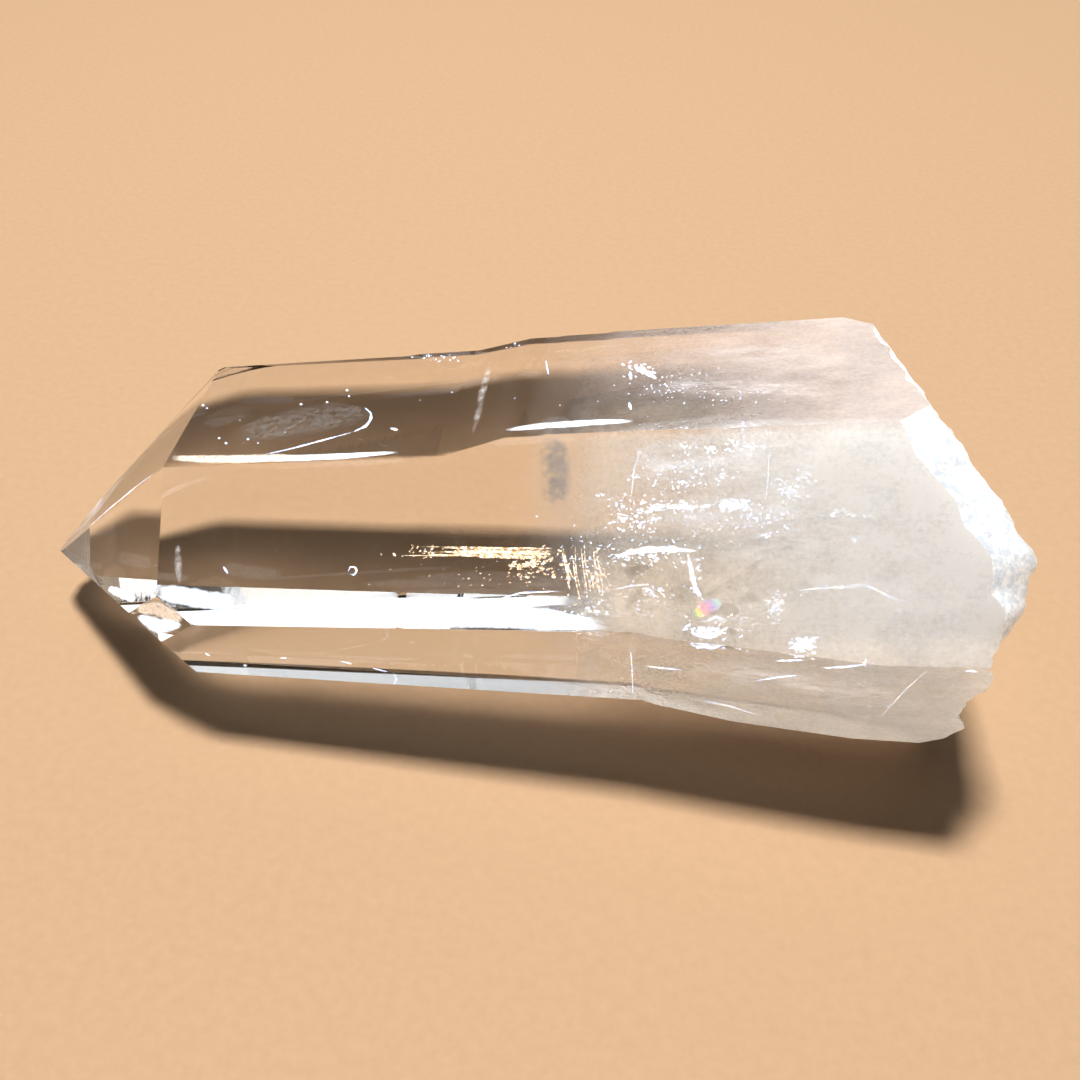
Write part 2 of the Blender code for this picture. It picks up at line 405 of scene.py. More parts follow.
def shoulder_depth(face, share, tables):
    """Depth on each column where its tip face meets its long side, found by halving."""
    near = np.full(len(face), POINT_END)
    far = np.full(len(face), 0.0255)
    tip = np.array([TIPS.get(name, TIPS["lower"]) for name in ROUND])
    for _ in range(26):
        middle = (near + far) / 2.0
        point = outer_point(face, share, middle, tables)
        azimuth = np.radians(tip[face, 0])
        t = np.radians(tip[face, 1])
        on_tip = (
            point[:, 0] * np.cos(azimuth) * np.sin(t) + point[:, 1] * np.sin(azimuth) * np.sin(t)
            + point[:, 2] * np.cos(t) > tip[face, 2] - 2e-7
        )
        near = np.where(on_tip, middle, near)
        far = np.where(on_tip, far, middle)
    return (near + far) / 2.0


def ripple(a, b, length, way, bend):
    """Wavy line pattern across the break: a sine along one direction, bent by a slower one."""
    along = a * math.cos(way) + b * math.sin(way)
    side = -a * math.sin(way) + b * math.cos(way)
    return np.sin(2.0 * math.pi * along / length + bend * np.sin(side * 410.0 + along * 190.0))


def break_depth(a, b):
    """Depth of the fracture below the apex at points across the crystal.

    It is the shallowest of four surfaces: the stepped outline of the end, a long slant on the upper side
    that steepens at the top, a bevel along the rim of the front face, and a slope underneath. Shell-like
    ripples and small flakes are laid over it.
    """
    wander = 0.0011 * np.sin(a * 330.0 + 0.4) + 0.0005 * np.sin(a * 870.0 + 1.3)
    fade = np.clip((0.0140 - a) / 0.0080, 0.0, 1.0)
    end = np.interp(b + wander * fade, END_ACROSS, END_DEPTH)
    slant = 0.0988 - 0.69 * b + 0.25 * (0.0185 - a) - 2.10 * np.maximum(0.0, b - 0.0228)
    bevel = 1.75 * np.maximum(0.0, a - 0.0163) * np.clip((b + 0.0075) / 0.005, 0.0, 1.0)
    rim = np.minimum(slant, end) - bevel
    under = 0.0965 + 0.0007 * np.sin(b * 380.0) - 0.70 * (-0.0060 - a)
    depth = np.minimum(np.minimum(end, slant), np.minimum(rim, under))
    away = np.hypot(a - 0.0150, b - 0.0170)
    swell = np.sin(away * 1250.0 + 1.2 * np.sin(a * 330.0))
    rough = np.sin(a * 1470.0 + b * 610.0) * np.sin(b * 1390.0 - a * 520.0 + 0.8)
    fine = ripple(a, b, 0.0019, 0.7, 1.6) * ripple(a, b, 0.0031, 2.3, 1.1)
    finest = ripple(a, b, 0.0008, 1.4, 2.0) * ripple(a, b, 0.0013, 0.2, 1.7)
    return depth + 0.00028 * (0.8 * swell + 0.7 * rough) - 0.00010 * (1.0 - fine) - 0.00004 * (1.0 - finest)


def build_crystal():
    """One closed surface: tip point, shoulder, long sides, rim of the break, and the break itself.

    Columns run from the tip point down every face, so that each corner of the crystal is a column. Rows
    are level near the point, then spread so that one row lies on every column's shoulder, then are level
    down the sides, and at last spread down to the rim of the break. Inside the rim the rows shrink to one
    point, and their depth is that of the fracture.
    """
    tables = corner_tables()
    face = np.concatenate([np.full(COLUMNS[name], index) for index, name in enumerate(ROUND)])
    share = np.concatenate([np.arange(COLUMNS[name]) / COLUMNS[name] for name in ROUND])
    count = len(face)
    shoulder = shoulder_depth(face, share, tables)
    for name in ("rest", "corner"):
        # these two have no shoulder: theirs is spread between their neighbours'
        index = ROUND.index(name)
        here = np.nonzero(face == index)[0]
        before, after = here[0] - 1, (here[-1] + 1) % count
        shoulder[here] = np.interp(share[here], (0.0, 1.0), (shoulder[before], shoulder[after]))

    rows = []
    for level in POINT_LEVELS:
        rows.append(np.full(count, level))
    for part in np.linspace(0.0, 1.0, 17)[1:]:
        rows.append(POINT_END + (shoulder - POINT_END) * part)
    for part in np.linspace(0.0, 1.0, 13)[1:]:
        rows.append(shoulder + (SIDES_START - shoulder) * part)
    levels = np.unique(np.round(np.concatenate((SIDE_LEVELS, STEP_MARKS)), 6))
    for level in levels[(levels > 0.0262) & (levels < 0.0755)]:
        rows.append(np.full(count, level))
    points = [outer_point(face, share, depth, tables) for depth in rows]

    rim = np.full(count, 0.0900)
    for _ in range(60):
        point = outer_point(face, share, rim, tables)
        rim = 0.5 * rim + 0.5 * break_depth(point[:, 0], point[:, 1])
    last = rows[-1]
    for part in np.linspace(0.0, 1.0, 25)[1:]:
        points.append(outer_point(face, share, last + (rim - last) * part, tables))
    points[-1][:, 2] = -break_depth(points[-1][:, 0], points[-1][:, 1])
    sides_end = len(points)

    centre = np.array(BREAK_MIDDLE)
    edge = points[-1][:, :2]
    for part in (1.0 - np.linspace(0.0, 1.0, 86) ** 0.92)[1:-1]:
        spot = centre + (edge - centre) * part
        points.append(np.column_stack((spot, -break_depth(spot[:, 0], spot[:, 1]))))
    hub = np.array((centre[0], centre[1], -break_depth(centre[0], centre[1])))
    grid = np.stack(points)
    tip_point = np.array((AXIS_POINT[0], AXIS_POINT[1], 0.00100))
    flat = np.concatenate((grid.reshape(-1, 3), tip_point[None], hub[None]))
    placed = flat @ TURN.T + APEX_PLACE

    quads, fans = ring_faces(len(grid), count)
    finish_index = np.concatenate((
        np.where(np.arange(len(grid) - 1) >= sides_end - 1, 1, 0).repeat(count),
        np.zeros(count, int), np.ones(count, int),
    ))
    mesh = bpy.data.meshes.new("crystal_body")
    mesh.from_pydata(placed.tolist(), [], quads.tolist() + fans.tolist())
    mesh.polygons.foreach_set("material_index", finish_index.astype(np.int32))
    mesh.update()
    turn_outwards(mesh, True)
    mesh.polygons.foreach_set("use_smooth", np.ones(len(mesh.polygons), bool))
    mesh.set_sharp_from_angle(angle=math.radians(SHARP_FROM))
    return put_in("crystal_body", mesh)


def ring_faces(rings, count):
    """Faces between closed rings of points, and fans from the two end rings to a pole each.

    The points are numbered ring by ring, and the two poles come after them.
    """
    here = np.arange(count)
    after = (here + 1) % count
    row = np.arange(rings - 1)[:, None] * count
    quads = np.stack((row + here, row + count + here, row + count + after, row + after), axis=-1)
    pole, last = rings * count, (rings - 1) * count
    fans = np.concatenate((
        np.stack((np.full(count, pole), here, after), axis=1),
        np.stack((np.full(count, pole + 1), last + after, last + here), axis=1),
    ))
    return quads.reshape(-1, 4), fans


def turn_outwards(mesh, join=False):
    """Turns the faces of a closed mesh outwards.

    Where asked, it first joins doubled points and drops faces that closed up where a flat face ends.
    """
    bm = bmesh.new()
    bm.from_mesh(mesh)
    if join:
        bmesh.ops.remove_doubles(bm, verts=bm.verts[:], dist=2e-6)
        bmesh.ops.dissolve_degenerate(bm, dist=1e-6, edges=bm.edges[:])
    bmesh.ops.recalc_face_normals(bm, faces=bm.faces[:])
    bm.to_mesh(mesh)
    bm.free()


def seen_inside(across, down, face, sunk):
    """Points inside the crystal that the camera sees at given places of its 1080 wide picture.

    The view ray meets the flat face (the growth step is found by going round four times), bends by Snell's
    law, and goes on inside by the distance sunk. All four inputs are whole arrays of one shape.
    """
    on_picture = np.stack(((across - PICTURE_MIDDLE) / SPREAD, (down - PICTURE_MIDDLE) / SPREAD), axis=-1)
    ray = CAMERA_WAYS[2] + on_picture @ CAMERA_WAYS[:2]
    ray = (ray / np.linalg.norm(ray, axis=-1, keepdims=True)) @ TURN
    start = (CAMERA_PLACE - APEX_PLACE) @ TURN
    on_tip = face.startswith("tip_")
    if on_tip:
        azimuth, from_axis, distance = TIPS[face[4:]]
        lean = math.radians(90.0 - from_axis)
    else:
        azimuth, distance, taper = SIDES[face]
        lean = math.radians(taper)
    azimuth = math.radians(azimuth)
    level = math.cos(lean)
    normal = np.array((math.cos(azimuth) * level, math.sin(azimuth) * level, math.sin(lean)))
    out = 0.0
    for _ in range(4):
        reach = (distance + out * math.cos(lean) - start @ normal) / (ray @ normal)
        meet = start + ray * reach[..., None]
        out = 0.0 if on_tip else steps_out(face, -meet[..., 2])
    facing = -(ray @ normal)
    bend = facing / QUARTZ_INDEX - np.sqrt(1.0 - (1.0 - facing ** 2) / QUARTZ_INDEX ** 2)
    bent = ray / QUARTZ_INDEX + bend[..., None] * normal
    return (meet + bent * np.asarray(sunk)[..., None]) @ TURN.T + APEX_PLACE


def leaf(
    line, half_width, face, sunk, thick=0.00004, steps=8, round_steps=6, blunt=0.5, wave=0.0, rough=0.0,
):
    """One thin closed leaf inside the crystal, seen along a bent line of the picture.

    s runs along the line, t goes round it. Across the line the leaf is half_width * cos t wide, times
    (1 - (2s - 1)^2)^blunt; through it, it is thick * sin t, times the same. wave bends it by a sine, and
    rough makes its width uneven by two sines of s. Both ends close to a point.
    """
    line = np.array(line, float)
    run = np.concatenate(([0.0], np.cumsum(np.hypot(*np.diff(line, axis=0).T))))
    s = (1.0 - np.cos(np.linspace(0.0, math.pi, steps + 1))) / 2.0
    middle = np.stack([np.interp(s * run[-1], run, line[:, k]) for k in (0, 1)], axis=1)
    way = np.gradient(middle, axis=0)
    way = way / np.linalg.norm(way, axis=1, keepdims=True)
    t = np.arange(round_steps) * 2.0 * math.pi / round_steps
    full = np.maximum(0.0, 1.0 - (2.0 * s - 1.0) ** 2) ** blunt
    ragged = 1.0 + rough * (np.sin(s * 23.0 + line[0, 0]) + np.sin(s * 41.0 + line[0, 1]))[:, None]
    side = half_width * full[:, None] * ragged * np.cos(t)[None, :]
    across = middle[:, :1] - way[:, 1:] * side
    down = middle[:, 1:] + way[:, :1] * side
    depth = sunk + wave * np.sin(side * 0.35 + s[:, None] * 9.0)
    depth = np.maximum(depth + thick * full[:, None] * np.sin(t)[None, :], 0.00006)
    points = seen_inside(across, down, face, depth)
    rings = points[1:-1].reshape(-1, 3)
    ends = points[[0, -1]].mean(axis=1)
    quads, fans = ring_faces(steps - 1, round_steps)
    along_across = np.broadcast_arrays(s[1:-1, None], (np.cos(t)[None, :] + 1.0) / 2.0)
    place = np.concatenate((np.stack(along_across, axis=-1).reshape(-1, 2), ((0.0, 0.5), (1.0, 0.5))))
    return np.concatenate((rings, ends)), quads, fans, place


def lies_inside(points):
    """Whether all points keep clear of every flat face, of the break and of the surface it rests on."""
    own = (points - APEX_PLACE) @ TURN
    clear = points[:, 2] > REST_MARGIN
    for table, distance in ((SIDES, side_distance), (TIPS, tip_distance)):
        for name in table:
            azimuth = math.radians(table[name][0])
            reach = own[:, 0] * math.cos(azimuth) + own[:, 1] * math.sin(azimuth)
            clear &= reach < distance(name, own[:, 2]) - FACE_MARGIN
    clear &= -own[:, 2] < break_depth(own[:, 0], own[:, 1]) - BREAK_MARGIN
    return bool(clear.all())


def join_leaves(name, leaves, finish):
    """All leaves of one kind as one piece; each point keeps its place along and across its leaf."""
    points, faces, places, offset = [], [], [], 0
    for verts, quads, fans, place in [one for one in leaves if lies_inside(one[0])]:
        points.append(verts)
        places.append(place)
        faces.extend((quads + offset).tolist())
        faces.extend((fans + offset).tolist())
        offset += len(verts)
    points, places = np.concatenate(points), np.concatenate(places)
    mesh = bpy.data.meshes.new(name)
    mesh.from_pydata(points.tolist(), [], faces)
    corner = np.empty(len(mesh.loops), np.int32)
    mesh.loops.foreach_get("vertex_index", corner)
    layer = mesh.uv_layers.new(name="leaf")
    layer.data.foreach_set("uv", places[corner].astype(np.float32).ravel())
    mesh.polygons.foreach_set("use_smooth", np.ones(len(mesh.polygons), bool))
    mesh.update()
    piece = put_in(name, mesh)
    mesh.materials.append(finish)
    turn_outwards(mesh)
    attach(piece, "root")


def scatter(rng, clusters):
    """Small leaves strewn in clusters: middle, spread, how many, their length, face and depth."""
    leaves = []
    for (x, y), (spread_x, spread_y), count, length, face, sunk in clusters:
        count = int(count * 1.8)
        places = rng.normal((x, y), (spread_x, spread_y), (count, 2))
        long = length * rng.uniform(0.25, 1.15, count)
        turn = rng.normal(-0.12, 0.5, count)
        deep = sunk * rng.uniform(0.5, 1.5, count)
        for place, size, angle, depth in zip(places, long, turn, deep):
            step = np.array((math.cos(angle), math.sin(angle))) * size / 2.0
            line = (place - step, place + step * 0.2 + (0.0, 0.4), place + step)
            half = size * rng.uniform(0.18, 0.36)
            leaves.append(leaf(line, half, face, depth, steps=4, round_steps=5))
    return leaves


# Sparks in the base: small white flaws that glow as painted glints: middle, spread, how many, length, face,
# depth.
SPARKS = (
    ((676, 507), (15, 2.4), 34, 6.0, "front", 0.0032), ((727, 505), (13, 2.8), 34, 6.0, "front", 0.0030),
    ((741, 444), (8, 4.0), 20, 4.4, "front", 0.0024), ((684, 447), (4, 2.5), 7, 3.6, "front", 0.0024),
    ((711, 449), (4, 2.5), 8, 3.6, "front", 0.0024), ((692, 471), (16, 6.0), 26, 3.4, "front", 0.0026),
    ((722, 474), (5, 4.0), 10, 3.4, "front", 0.0026), ((640, 476), (5, 3.0), 8, 3.2, "front", 0.0026),
    ((682, 484), (13, 3.0), 16, 3.6, "front", 0.0028), ((616, 512), (5, 8.0), 18, 3.2, "front", 0.0026),
    ((638, 522), (13, 5.0), 32, 4.2, "front", 0.0030), ((600, 495), (3, 1.5), 4, 3.4, "front", 0.0026),
    ((791, 489), (9, 6.0), 44, 4.2, "front", 0.0022), ((806, 474), (5, 5.0), 16, 3.4, "front", 0.0022),
    ((765, 516), (18, 6.0), 34, 3.6, "front", 0.0026), ((766, 535), (4, 2.0), 8, 3.6, "front", 0.0026),
    ((857, 539), (3, 2.0), 8, 3.6, "front", 0.0010), ((655, 455), (24, 10.0), 26, 2.2, "front", 0.0026),
    ((745, 430), (26, 4.0), 24, 2.2, "front", 0.0020), ((848, 514), (10, 2.4), 12, 5.5, "front", 0.0012),
    ((700, 528), (55, 12.0), 90, 2.4, "front", 0.0040), ((640, 505), (20, 7.0), 30, 3.0, "front", 0.0034),
    ((884, 612), (20, 10.0), 22, 3.4, "front", 0.0020), ((648, 556), (24, 5.0), 46, 4.6, "front", 0.0044),
    ((697, 570), (3, 14.0), 22, 4.0, "front", 0.0040), ((585, 560), (14, 14.0), 30, 2.6, "front", 0.0050),
    ((650, 590), (8, 3.0), 14, 4.4, "front", 0.0040), ((598, 612), (24, 4.0), 34, 3.0, "front", 0.0040),
    ((560, 560), (40, 8.0), 22, 2.0, "front", 0.0050), ((700, 375), (30, 6.0), 16, 2.4, "upper", 0.0020),
    ((770, 385), (30, 9.0), 22, 2.4, "upper", 0.0020), ((720, 480), (60, 30.0), 90, 1.7, "front", 0.0030),
    ((860, 480), (50, 40.0), 60, 2.0, "front", 0.0016), ((800, 640), (40, 10.0), 30, 2.2, "front", 0.0020),
    ((860, 690), (50, 14.0), 30, 2.0, "lower", 0.0008), ((708, 631), (10, 3.4), 46, 5.0, "front", 0.0030),
    ((776, 608), (5, 6.0), 34, 4.4, "front", 0.0024), ((804, 643), (8, 4.0), 46, 5.0, "front", 0.0014),
    ((826, 588), (20, 3.0), 16, 3.0, "front", 0.0016), ((730, 618), (14, 8.0), 40, 3.0, "front", 0.0030),
    ((612, 600), (18, 14.0), 50, 2.4, "front", 0.0040), ((655, 600), (16, 12.0), 30, 2.6, "front", 0.0040),
    ((975, 600), (20, 30.0), 24, 2.4, "front", 0.0010), ((640, 370), (8, 4.0), 24, 3.6, "upper", 0.0004),
    ((720, 395), (40, 5.0), 22, 2.4, "upper", 0.0010), ((660, 390), (16, 6.0), 20, 2.4, "upper", 0.0010),
    ((435, 357), (10, 2.0), 12, 3.4, "upper", 0.0003), ((514, 345), (3, 2.0), 6, 3.4, "upper", 0.0003),
)
# Bright streaks, chips and lines, which glow as painted glints, one of them a painted highlight along a
# ridge: the line, half width, face, depth.
STREAKS = (
    (((614, 557), (640, 550), (668, 549), (699, 551)), 3.4, "front", 0.0042),
    (((688, 552), (693, 575), (697, 590), (706, 602)), 3.0, "front", 0.0042),
    (((690, 632), (700, 636), (714, 636), (730, 626)), 2.6, "front", 0.0030),
    (((706, 622), (716, 617), (728, 621)), 1.6, "front", 0.0030),
    (((770, 616), (774, 606), (784, 600)), 2.4, "front", 0.0024),
    (((788, 649), (800, 645), (812, 640), (820, 636)), 2.8, "front", 0.0012),
    (
        ((795, 591), (820, 588), (848, 587), (865, 584), (880, 592), (895, 599), (912, 603)), 1.5, "front",
        0.0016,
    ),
    (((822, 668), (845, 667), (868, 664)), 1.3, "lower", 0.0003),
    (((775, 661), (805, 660)), 1.1, "lower", 0.0003),
    (((755, 681), (780, 677), (800, 675)), 0.9, "lower", 0.0003),
    (((645, 666), (662, 668), (682, 670)), 0.8, "lower", 0.0003),
    (((630, 642), (632, 668), (633, 696)), 0.5, "lower", 0.0010),
    (((634, 367), (646, 372), (657, 379)), 2.8, "upper", 0.0003),
    (((630, 371), (631, 380)), 1.8, "upper", 0.0003),
    (((629, 402), (631, 410)), 1.6, "upper", 0.0003),
    (((493, 602), (506, 597), (520, 593), (560, 591)), 0.9, "front", 0.0008),
    (((364, 407), (371, 413), (371, 419), (366, 426), (353, 432)), 1.4, "upper", 0.0012),
    (((353, 432), (320, 441), (290, 449), (262, 455)), 0.8, "upper", 0.0012),
    (((546, 360), (549, 375)), 0.9, "upper", 0.0010),
    (((390, 428), (398, 430)), 1.3, "upper", 0.0003),
    # Painted highlight: a thin white line along the ridge of the upper tip face.
    (((88, 528), (110, 508), (138, 485), (156, 472)), 0.6, "tip_upper", 0.0002),
    (((348, 572), (350, 567), (355, 567), (357, 571), (354, 575), (349, 574)), 0.9, "front", 0.0002),
    (((985, 660), (962, 688), (932, 716)), 0.5, "lower", 0.0004),
    (((957, 664), (944, 688), (918, 712)), 0.4, "lower", 0.0004),
    (((930, 668), (905, 690), (880, 718)), 0.4, "lower", 0.0004),
    (((965, 671), (972, 671), (978, 672)), 1.2, "lower", 0.0003),
    (((700, 700), (730, 706), (760, 716)), 0.6, "lower", 0.0004),
    (((655, 704), (675, 712), (700, 718), (730, 724)), 0.9, "lower", 0.0004),
    (((280, 658), (287, 658)), 0.8, "lower", 0.0002), (((205, 653), (210, 656)), 0.8, "lower", 0.0002),
    (((340, 661), (352, 664)), 0.7, "lower", 0.0002), (((372, 668), (388, 672)), 0.7, "lower", 0.0002),
    (((145, 561), (150, 574)), 1.2, "front", 0.0002), (((223, 566), (228, 574)), 1.2, "front", 0.0002),
    (((640, 452), (634, 470), (631, 500)), 0.4, "front", 0.0030),
    (((769, 450), (768, 480), (765, 505)), 0.4, "front", 0.0020),
    (((612, 590), (630, 586), (650, 584)), 0.8, "front", 0.0034),
)
# Specks under the upper face: place and size.
SPECKS = (
    (203, 405, 1.5), (207, 408, 1.2), (219, 438, 1.4), (226, 443, 1.6), (248, 439, 1.5), (258, 443, 1.2),
    (301, 404, 1.5), (327, 402, 1.3), (347, 390, 1.4), (349, 396, 1.2), (240, 420, 0.9), (285, 432, 0.9),
    (420, 400, 0.8), (452, 392, 0.9), (515, 398, 0.8), (560, 405, 0.9),
)
# Films of painted light: bright ones stand for bright reflections and light seen inside the faces, pale ones
# for lit patches seen through the crystal: line, half width, face, depth, bluntness of the ends.
PAINTED_REFLECTION_FILMS = (
    (((160, 592), (184, 596), (206, 600), (234, 603)), 10.0, "front", 0.0003, 0.12),
    (((400, 611), (480, 612), (545, 615), (602, 623)), 8.0, "front", 0.0004, 0.5),
    (((212, 608), (300, 604), (400, 600), (482, 598)), 2.4, "front", 0.0003, 0.3),
    (((330, 618), (450, 620), (500, 621), (560, 625), (612, 628)), 8.0, "front", 0.0003, 0.55),
    (((137, 616), (158, 626), (182, 625)), 8.0, "tip_corner", 0.00025, 0.7),
    (((108, 588), (122, 594), (136, 600)), 5.0, "tip_front", 0.0003, 0.3),
    (((225, 460), (262, 459), (300, 458), (345, 456), (400, 452)), 3.4, "upper", 0.0001, 0.6),
    (((505, 430), (540, 426), (570, 424), (600, 422), (634, 421)), 3.4, "upper", 0.0002, 0.4),
)
PAINTED_PALE_LIGHT_FILMS = (
    (((171, 458), (200, 459), (240, 459), (300, 457)), 4.6, "upper", 0.0001, 0.25),
    (((135, 610), (156, 608), (183, 621)), 8.0, "tip_corner", 0.00025, 0.6),
)
# Milky veils in the base: line, half width, face, depth, wave.
VEILS = (
    (((612, 470), (680, 462), (770, 455), (850, 450)), 30, "front", 0.0050, 0.0006),
    (((640, 520), (720, 512), (800, 505), (900, 500)), 26, "front", 0.0065, 0.0008),
    (((700, 560), (780, 548), (860, 545), (960, 560)), 24, "front", 0.0040, 0.0006),
    (((800, 600), (860, 590), (930, 595), (990, 600)), 30, "front", 0.0030, 0.0005),
    (((640, 392), (700, 384), (760, 388), (850, 392)), 12, "upper", 0.0020, 0.0004),
    (((690, 352), (750, 350), (810, 356), (880, 372)), 20, "upper", 0.0026, 0.0004),
    (((660, 664), (740, 672), (830, 690), (930, 700)), 18, "lower", 0.0022, 0.0003),
    (((795, 588), (830, 578), (870, 574), (900, 588)), 9, "front", 0.0018, 0.0),
)
# Dark cracks: line, half width, depth below the front face.
DARK_CRACKS = (
    (((622, 572), (636, 571), (650, 566)), 5.0, 0.0052), (((626, 612), (632, 598), (642, 588)), 4.0, 0.0052),
    (((708, 612), (722, 608), (740, 612)), 7.0, 0.0040), (((716, 634), (726, 628), (736, 634)), 4.0, 0.0034),
    (((740, 600), (750, 597), (760, 600)), 5.0, 0.0040),
)
# Golden flecks round the strip of threads, in the form of SPARKS.
GOLD_FLECKS = (
    ((531, 566), (13, 6.0), 60, 5.0, "front", 0.0022), ((540, 553), (10, 3.0), 26, 5.0, "front", 0.0020),
    ((450, 552), (34, 3.0), 30, 4.0, "front", 0.0020), ((470, 575), (50, 9.0), 26, 2.2, "front", 0.0022),
    ((592, 578), (14, 14.0), 30, 4.0, "front", 0.0050),
)
# How finely the leaves of one kind are cut.
SHEET = dict(steps=30, round_steps=14, rough=0.04)
WIDE = dict(steps=26, round_steps=18, blunt=0.45)


def golden_threads(rng):
    """Threads of the golden strip, lying along the crystal, and a bunch of upright ones beside it."""
    gold = []
    for place in rng.uniform(0.0, 1.0, (22, 4)):
        x, y = 397.0 + 90.0 * place[0], 546.5 + 11.0 * place[1]
        end = min(552.0, x + 35.0 + 90.0 * place[2])
        line = ((x, y), ((x + end) / 2.0, y + 0.8 * place[3]), (end, y + 0.5))
        gold.append(leaf(
            line, 0.35 + 0.65 * place[3], "front", 0.0020, steps=20, round_steps=5, blunt=0.3, rough=0.3,
        ))
    for place in rng.uniform(-1.0, 1.0, (12, 4)):
        x, y = 588.0 + 26.0 * place[0], 574.0 + 8.0 * place[1]
        tall = 18.0 + 9.0 * place[2]
        line = ((x - 3.0, y - tall), (x + 3.0 * place[3], y), (x + 4.0, y + tall))
        gold.append(leaf(line, 0.8 + 0.4 * place[3], "front", 0.0050, steps=16, round_steps=5, rough=0.35))
    return gold + scatter(rng, GOLD_FLECKS)


def build_inside():
    """Everything that lies inside the crystal: sparks, streaks, films of painted light, veils, fibres,
    cracks.
    """
    rng = np.random.default_rng(17)
    leaves = scatter(rng, SPARKS)
    for line, half, face, deep in STREAKS:
        leaves.append(leaf(line, half, face, deep, steps=22, blunt=0.7, rough=0.22))
    for x, y, r in SPECKS:
        leaves.append(leaf(((x - r, y), (x + r, y + 0.4)), r * 0.8, "upper", 0.0003, steps=4))
    join_leaves("flaw_painted_glints", leaves, flaw_and_glint_finish())

    bright = [leaf(*film[:4], blunt=film[4], **SHEET) for film in PAINTED_REFLECTION_FILMS]
    join_leaves("painted_reflection_films", bright, painted_light_film_finish("painted_reflection_film", (0.84, 0.91, 1.0, 1.0), 0.85))
    pale = [leaf(*film[:4], blunt=film[4], **SHEET) for film in PAINTED_PALE_LIGHT_FILMS]
    join_leaves("painted_pale_light_films", pale, painted_light_film_finish("painted_pale_light_film", (0.88, 0.79, 0.70, 1.0), 0.50))

    veils = [leaf(*veil[:4], wave=veil[4], **WIDE) for veil in VEILS]
    veils += [
        leaf(((178, 540), (178, 560), (179, 585)), 4.6, "front", 0.0006, steps=12, round_steps=8),
        leaf(((493, 358), (486, 385), (480, 412), (474, 436)), 4.5, "upper", 0.0016, steps=14, round_steps=8),
    ]
    join_leaves("milky_veils", veils, veil_finish())

    patch = dict(steps=14, round_steps=12, blunt=0.15)
    grey = [
        leaf(((552, 436), (556, 470), (556, 506)), 17, "front", 0.0070, **patch),
        leaf(((556, 440), (558, 470), (558, 502)), 13, "front", 0.0078, **patch),
        leaf(((236, 434), (285, 425), (330, 416), (372, 414)), 16, "upper", 0.0014, wave=0.0002, **WIDE),
    ]
    join_leaves("grey_phantom", grey, phantom_finish())
    gold = golden_threads(rng)
    join_leaves("golden_fibres", gold, fibre_finish())

    dark = []
    for k in range(11):
        line = ((700 + 4 * k, 598 - 2 * k), (716 + 4 * k, 592 - 3 * k), (736 + 3 * k, 589 - 3 * k))
        dark.append(leaf(line, 1.7, "front", 0.0040 + 0.0001 * k, steps=8))
    dark += [leaf(line, half, "front", deep, steps=10) for line, half, deep in DARK_CRACKS]
    join_leaves("shaded_cracks", dark, shade_finish())

    rainbow = [leaf(((694, 616), (706, 608), (722, 601)), 8.0, "front", 0.0030, steps=14, round_steps=12)]
    join_leaves("rainbow_crack", rainbow, rainbow_finish())


def clear(f, rough, relief):
    """Clear quartz: light goes through it and bends."""
    return f.node("ShaderNodeBsdfPrincipled", None, {
        "Base Color": (1.0, 1.0, 1.0, 1.0), "Roughness": rough, "IOR": QUARTZ_INDEX,
        "Transmission Weight": 1.0, "Normal": relief.outputs[0],
    })


def milk(f, tone, rough, glow_tone, glow):
    """Milky quartz: light sinks in and spreads before it comes out.

    The glow is painted light: an even emission that stands for light that has gone many times to and fro
    between the clouds inside.
    """
    return f.node("ShaderNodeBsdfPrincipled", None, {
        "Base Color": tone, "Roughness": rough, "IOR": QUARTZ_INDEX, "Subsurface Weight": 0.6,
        "Subsurface Radius": (0.030, 0.029, 0.027), "Subsurface Scale": 1.0,
        "Emission Color": glow_tone, "Emission Strength": glow,
    })


